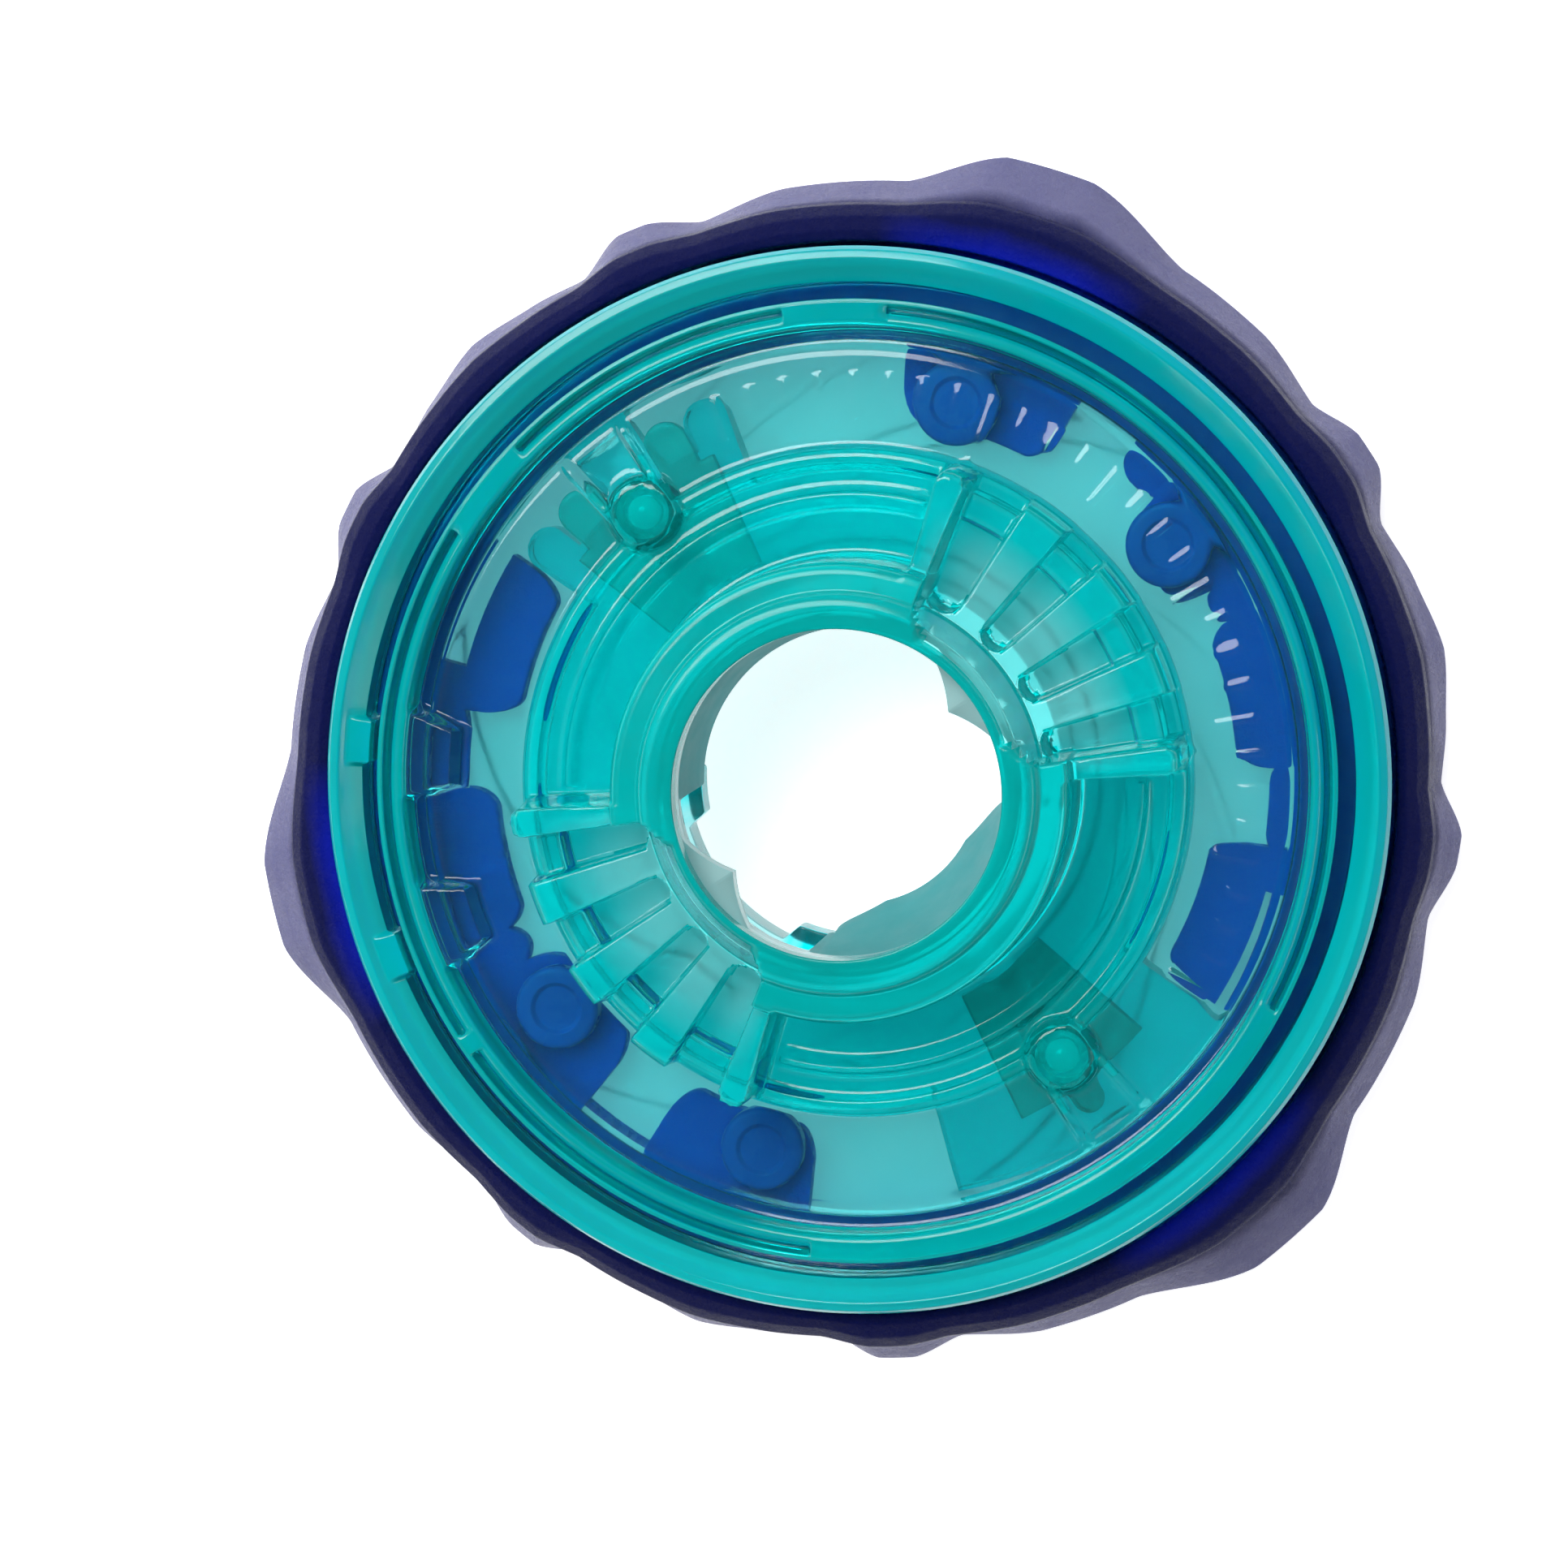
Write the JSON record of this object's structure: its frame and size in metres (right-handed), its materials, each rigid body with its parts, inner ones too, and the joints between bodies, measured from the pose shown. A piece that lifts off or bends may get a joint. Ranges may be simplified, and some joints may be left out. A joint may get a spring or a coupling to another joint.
{
  "type": "spinning top layer",
  "caption": "Upper layer of a clicking battle top: clear base with tooth tracks, free rim ring, soft bumped blade ring and face shell round a through bore.",
  "frame": {"origin": "on the spin axis, in the plane that the face-down shell rests on", "axes": "+Z along the spin axis, from the face towards the driver side; +X and +Y lie in the face plane, with the first tooth track between +X and +Y"},
  "size_m": [0.0607, 0.0604, 0.0138],
  "materials": {
    "clear_teal": "clear tinted injection moulding, polished",
    "rim_teal": "clear tinted injection moulding, polished",
    "deep_teal": "clear tinted injection moulding",
    "bright_teal": "translucent bright moulding",
    "deep_blue": "deep blue moulding, satin",
    "pale_clear": "pale clear moulding",
    "indigo_soft": "soft translucent elastomer, glossy lip and frosted flank",
    "frosted_shell": "frosted pale moulding"
  },
  "bodies": {
    "layer": {"base_cover": "clear_teal", "ring_keeper": "deep_blue", "core_body": "bright_teal", "latch_plate_1": "deep_teal", "latch_plate_2": "deep_teal", "press_pin_1": "pale_clear", "press_pin_2": "pale_clear", "anchor_peg_1": "deep_blue", "anchor_peg_2": "deep_blue", "anchor_peg_3": "deep_blue", "anchor_peg_4": "deep_blue", "lock_ring": "pale_clear", "blade_ring": "indigo_soft", "top_shell": "frosted_shell"},
    "free_ring": {"rim_ring": "rim_teal"}
  },
  "joints": [
    {"name": "rim_spin", "type": "hinge", "parent": "layer", "child": "free_ring", "pos_m": [0, 0, 0.0065], "axis": [0, 0, 1], "continuous": true}
  ]
}
